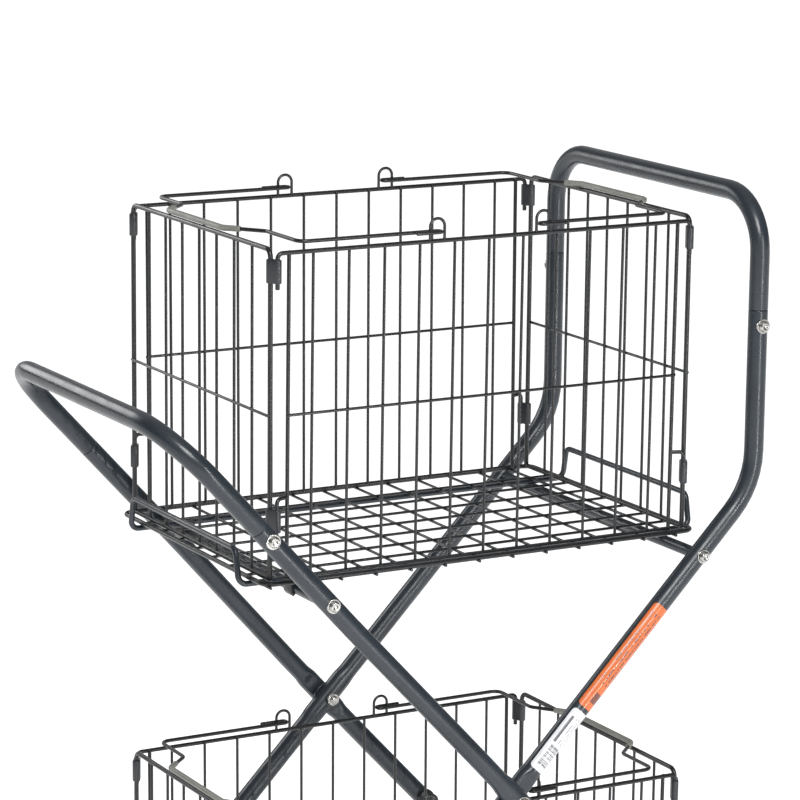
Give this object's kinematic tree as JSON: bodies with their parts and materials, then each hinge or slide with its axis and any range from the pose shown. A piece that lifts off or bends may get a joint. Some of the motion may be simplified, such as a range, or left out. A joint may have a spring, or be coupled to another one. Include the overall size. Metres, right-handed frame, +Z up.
{
  "type": "rolling basket trolley",
  "caption": "Folding two-tier trolley: crossing tube frames with push bars on swivel castors carry collapsible wire baskets with swing-up bail handles.",
  "frame": {"origin": "on the floor below the middle of the trolley", "axes": "+Z up, +X along the length towards the higher push bar, -Y towards the front side with the labels"},
  "size_m": [0.745, 0.4512, 1.078],
  "materials": {
    "frame_tube": "slate grey powder coat, satin",
    "basket_wire": "dark grey powder coat over welded wire, satin",
    "bail_wire": "grey powder coat over bent wire, satin",
    "zinc": "bright zinc plate",
    "black_plastic": "moulded black, fine matt grain",
    "wheel_plastic": "moulded grey, satin",
    "tyre_rubber": "grey-black tread rubber",
    "orange_film": "orange printed film",
    "white_film": "white printed film"
  },
  "bodies": {
    "frame_a": {"leg_a_front": "frame_tube", "leg_a_back": "frame_tube", "handle_a": "frame_tube", "cross_tube_a_upper": "frame_tube", "cross_tube_a_lower": "frame_tube", "handle_bolts_a": "zinc", "cross_bolts_a": "zinc", "pivot_bolts": "zinc", "pivot_spacers": "black_plastic", "leg_bumpers": "black_plastic", "castor_sockets_a": "zinc"},
    "frame_b": {"leg_b_front": "frame_tube", "leg_b_back": "frame_tube", "handle_b": "frame_tube", "cross_tube_b_upper": "frame_tube", "cross_tube_b_lower": "frame_tube", "handle_bolts_b": "zinc", "cross_bolts_b": "zinc", "castor_sockets_b": "zinc", "orange_label": "orange_film", "white_label": "white_film"},
    "upper_basket": {"upper_carrier": "frame_tube", "upper_carrier_clips": "black_plastic", "upper_base_grid": "basket_wire", "upper_left_end": "basket_wire", "upper_right_end": "basket_wire", "upper_front_panel": "basket_wire", "upper_back_panel": "basket_wire", "upper_sleeves": "basket_wire"},
    "upper_left_bail": {"upper_bail_left": "bail_wire"},
    "upper_right_bail": {"upper_bail_right": "bail_wire"},
    "lower_basket": {"lower_carrier": "frame_tube", "lower_carrier_clips": "black_plastic", "lower_base_grid": "basket_wire", "lower_left_end": "basket_wire", "lower_right_end": "basket_wire", "lower_front_panel": "basket_wire", "lower_back_panel": "basket_wire", "lower_sleeves": "basket_wire"},
    "lower_left_bail": {"lower_bail_left": "bail_wire"},
    "lower_right_bail": {"lower_bail_right": "bail_wire"},
    "castor_a_front": {"fork_a_front": "zinc", "axle_a_front": "zinc"},
    "rolling_wheel_a_front": {"wheel_a_front": "wheel_plastic", "tyre_a_front": "tyre_rubber"},
    "castor_a_back": {"fork_a_back": "zinc", "axle_a_back": "zinc"},
    "rolling_wheel_a_back": {"wheel_a_back": "wheel_plastic", "tyre_a_back": "tyre_rubber"},
    "castor_b_front": {"fork_b_front": "zinc", "axle_b_front": "zinc"},
    "rolling_wheel_b_front": {"wheel_b_front": "wheel_plastic", "tyre_b_front": "tyre_rubber"},
    "castor_b_back": {"fork_b_back": "zinc", "axle_b_back": "zinc"},
    "rolling_wheel_b_back": {"wheel_b_back": "wheel_plastic", "tyre_b_back": "tyre_rubber"},
    "brake_front": {"brake_lever_front": "black_plastic"},
    "brake_back": {"brake_lever_back": "black_plastic"}
  },
  "joints": [
    {"name": "frame_fold", "type": "hinge", "parent": "frame_a", "child": "frame_b", "pos_m": [0.0125, 0, 0.478], "axis": [0, -1, 0], "range_deg": [0, 24]},
    {"name": "upper_basket_tilt", "type": "hinge", "parent": "frame_a", "child": "upper_basket", "pos_m": [-0.19468, 0, 0.7041], "axis": [0, -1, 0], "range_deg": [0, 15]},
    {"name": "lower_basket_tilt", "type": "hinge", "parent": "frame_a", "child": "lower_basket", "pos_m": [0.316, 0, 0.1201], "axis": [0, -1, 0], "range_deg": [0, 15]},
    {"name": "upper_left_bail_swing", "type": "hinge", "parent": "upper_basket", "child": "upper_left_bail", "pos_m": [-0.06, 0, 1.052], "axis": [0, 1, 0], "range_deg": [0, 105]},
    {"name": "upper_right_bail_swing", "type": "hinge", "parent": "upper_basket", "child": "upper_right_bail", "pos_m": [0.06, 0, 1.052], "axis": [0, -1, 0], "range_deg": [0, 105]},
    {"name": "lower_left_bail_swing", "type": "hinge", "parent": "lower_basket", "child": "lower_left_bail", "pos_m": [-0.06, 0, 0.468], "axis": [0, 1, 0], "range_deg": [0, 105]},
    {"name": "lower_right_bail_swing", "type": "hinge", "parent": "lower_basket", "child": "lower_right_bail", "pos_m": [0.06, 0, 0.468], "axis": [0, -1, 0], "range_deg": [0, 105]},
    {"name": "castor_a_front_swivel", "type": "hinge", "parent": "frame_a", "child": "castor_a_front", "pos_m": [0.316, -0.197, 0], "axis": [0, 0, 1], "continuous": true},
    {"name": "wheel_a_front_spin", "type": "hinge", "parent": "castor_a_front", "child": "rolling_wheel_a_front", "pos_m": [0.335, -0.197, 0.0375], "axis": [0, 1, 0], "continuous": true},
    {"name": "castor_a_back_swivel", "type": "hinge", "parent": "frame_a", "child": "castor_a_back", "pos_m": [0.316, 0.197, 0], "axis": [0, 0, 1], "continuous": true},
    {"name": "wheel_a_back_spin", "type": "hinge", "parent": "castor_a_back", "child": "rolling_wheel_a_back", "pos_m": [0.335, 0.197, 0.0375], "axis": [0, 1, 0], "continuous": true},
    {"name": "castor_b_front_swivel", "type": "hinge", "parent": "frame_b", "child": "castor_b_front", "pos_m": [-0.2985, -0.197, 0], "axis": [0, 0, 1], "continuous": true},
    {"name": "wheel_b_front_spin", "type": "hinge", "parent": "castor_b_front", "child": "rolling_wheel_b_front", "pos_m": [-0.2795, -0.197, 0.0375], "axis": [0, 1, 0], "continuous": true},
    {"name": "castor_b_back_swivel", "type": "hinge", "parent": "frame_b", "child": "castor_b_back", "pos_m": [-0.2985, 0.197, 0], "axis": [0, 0, 1], "continuous": true},
    {"name": "wheel_b_back_spin", "type": "hinge", "parent": "castor_b_back", "child": "rolling_wheel_b_back", "pos_m": [-0.2795, 0.197, 0.0375], "axis": [0, 1, 0], "continuous": true},
    {"name": "brake_front_press", "type": "hinge", "parent": "castor_b_front", "child": "brake_front", "pos_m": [-0.2715, -0.197, 0.0815], "axis": [0, 1, 0], "range_deg": [0, 22]},
    {"name": "brake_back_press", "type": "hinge", "parent": "castor_b_back", "child": "brake_back", "pos_m": [-0.2715, 0.197, 0.0815], "axis": [0, 1, 0], "range_deg": [0, 22]}
  ],
  "couplings": [
    {"joint": "upper_basket_tilt", "follows": "frame_fold", "ratio": 0.518},
    {"joint": "lower_basket_tilt", "follows": "frame_fold", "ratio": 0.509}
  ]
}
